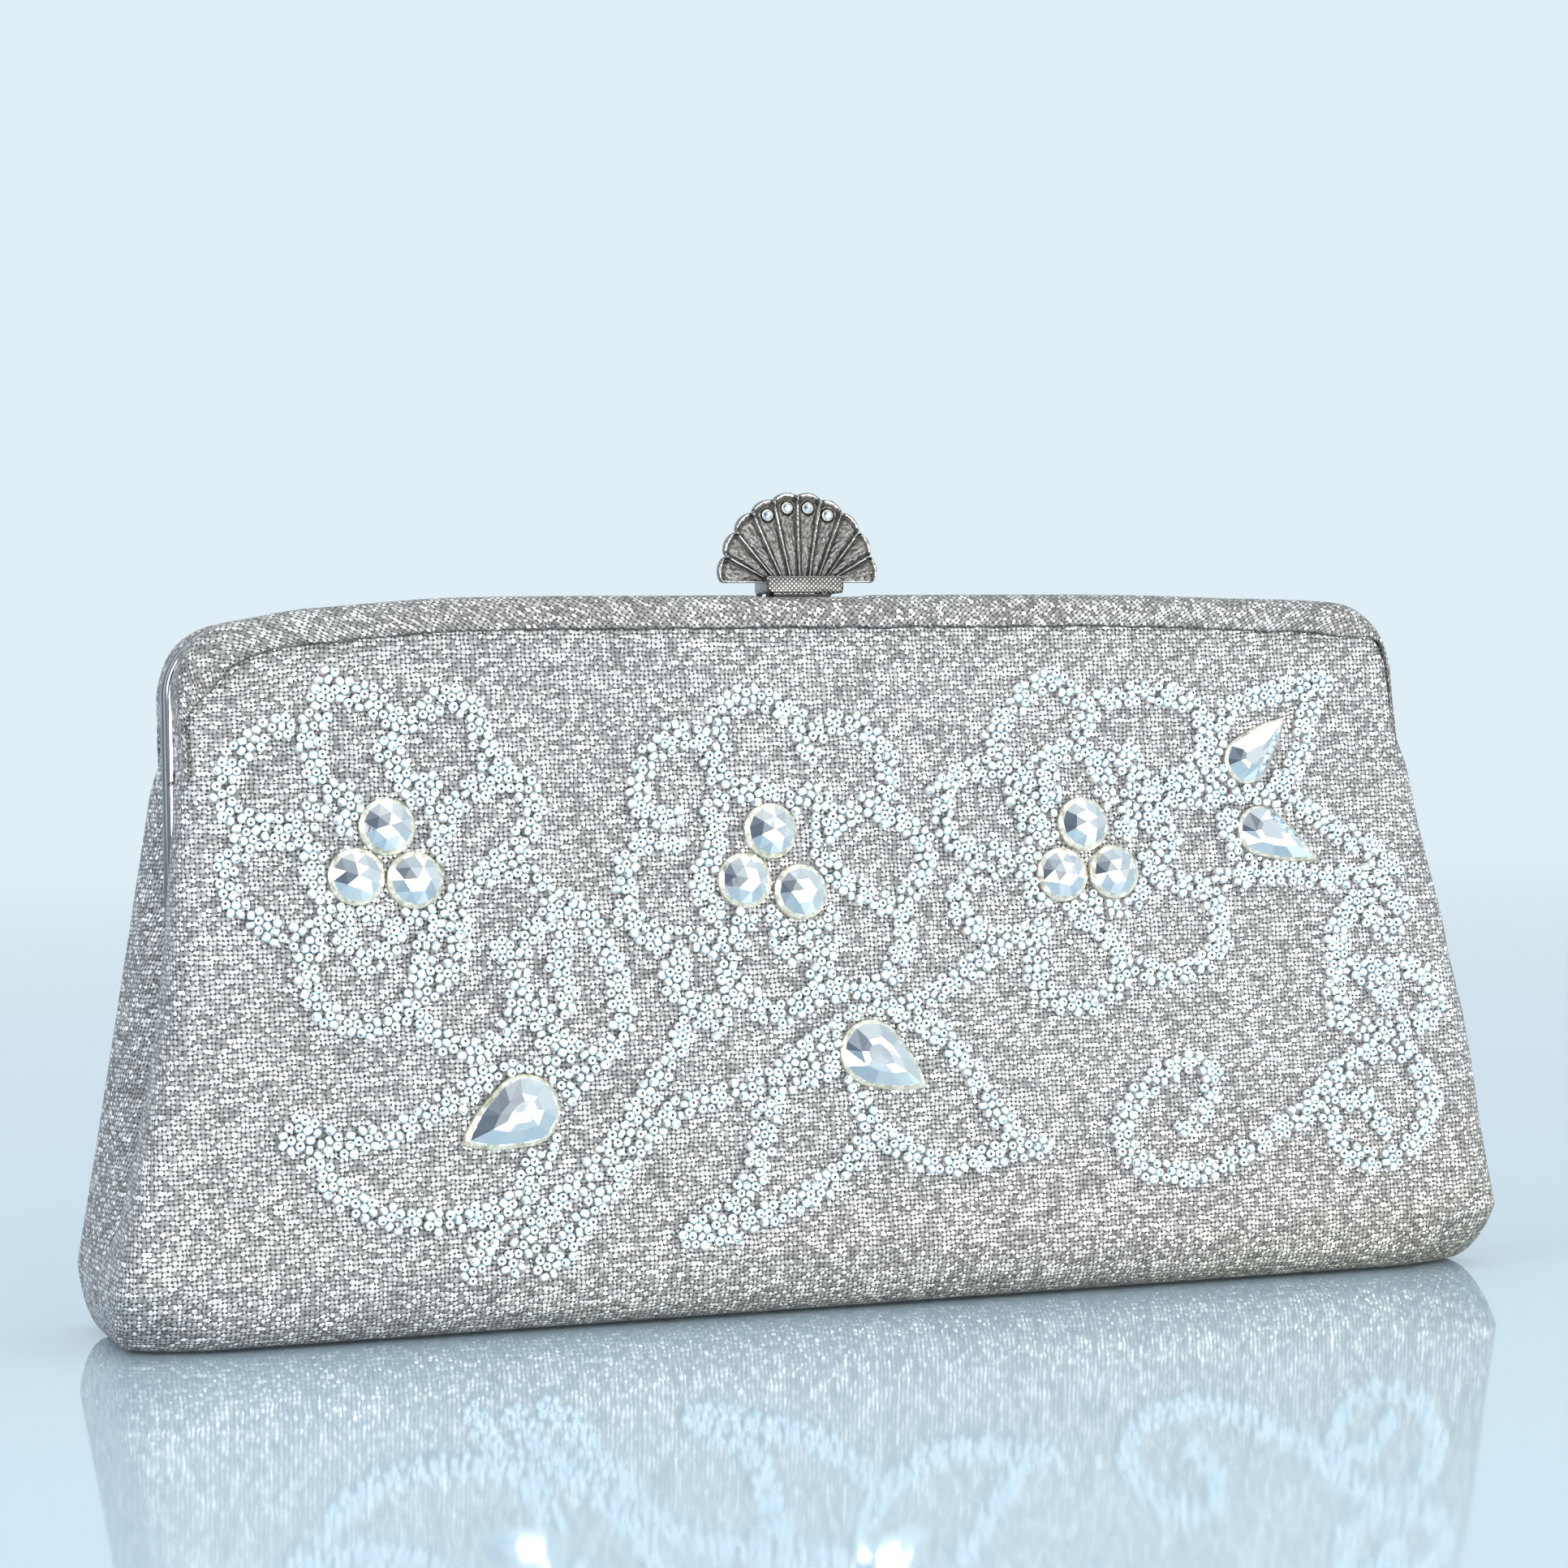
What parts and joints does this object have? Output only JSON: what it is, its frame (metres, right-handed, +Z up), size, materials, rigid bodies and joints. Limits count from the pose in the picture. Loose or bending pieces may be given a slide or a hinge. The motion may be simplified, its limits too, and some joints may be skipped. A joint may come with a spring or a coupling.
{
  "type": "evening bag",
  "caption": "Beaded silver evening bag: soft fabric pouch on a hinged two-part metal frame, with a lever clasp in the shape of a scallop shell.",
  "frame": {"origin": "middle of the base, on the surface that the bag stands on", "axes": "+X along the width, to the right as the front is seen; -Y out of the beaded front; +Z up"},
  "size_m": [0.27, 0.0529, 0.1522],
  "materials": {
    "fabric": "metallic silver basket weave",
    "lining": "satin",
    "card": "stiffening board",
    "frame_metal": "polished nickel plate",
    "clasp_metal": "antiqued silver casting",
    "beads": "opaque white glass",
    "crystal": "foil-backed clear crystal"
  },
  "bodies": {
    "root": {"base": "fabric", "base_board": "card", "front_panel_lower": "fabric", "back_panel_lower": "fabric", "front_panel_fold": "fabric", "back_panel_fold": "fabric", "left_gusset": "fabric", "right_gusset": "fabric", "left_gusset_fold": "fabric", "right_gusset_fold": "fabric", "lining_pouch": "lining", "beads_fold": "beads", "beads_lower_left": "beads", "beads_lower_middle": "beads", "beads_lower_right": "beads", "pear_stones_lower": "crystal"},
    "front_frame": {"front_frame": "frame_metal", "front_cover": "fabric", "front_panel": "fabric", "front_board": "card", "front_lining": "lining", "catch_plate": "clasp_metal", "catch_rivets": "frame_metal", "beads_upper_left": "beads", "beads_upper_middle": "beads", "beads_upper_right": "beads", "round_stones": "crystal", "pear_stones_upper": "crystal"},
    "back_frame": {"back_frame": "frame_metal", "back_cover": "fabric", "back_panel": "fabric", "back_board": "card", "back_lining": "lining", "hinge_rivets": "frame_metal", "clasp_bracket": "clasp_metal", "bracket_rivets": "frame_metal"},
    "clasp": {"clasp_shell": "clasp_metal", "clasp_stones": "crystal", "clasp_pin": "frame_metal", "clasp_spring": "frame_metal"}
  },
  "joints": [
    {"name": "front_open", "type": "hinge", "parent": "root", "child": "front_frame", "pos_m": [0, 0, 0.066], "axis": [1, 0, 0], "range_deg": [0, 25], "deforming": ["front_panel_fold", "beads_fold", "left_gusset_fold", "right_gusset_fold"]},
    {"name": "back_open", "type": "hinge", "parent": "root", "child": "back_frame", "pos_m": [0, 0, 0.066], "axis": [1, 0, 0], "range_deg": [-25, 0], "deforming": ["back_panel_fold"]},
    {"name": "clasp_tilt", "type": "hinge", "parent": "back_frame", "child": "clasp", "pos_m": [0, 0.0018, 0.134], "axis": [-1, 0, 0], "range_deg": [-6, 40], "stiffness_Nm_per_rad": 0.01, "deforming": ["clasp_spring"]}
  ],
  "couplings": [
    {"joint": "back_open", "follows": "front_open", "ratio": -1}
  ]
}
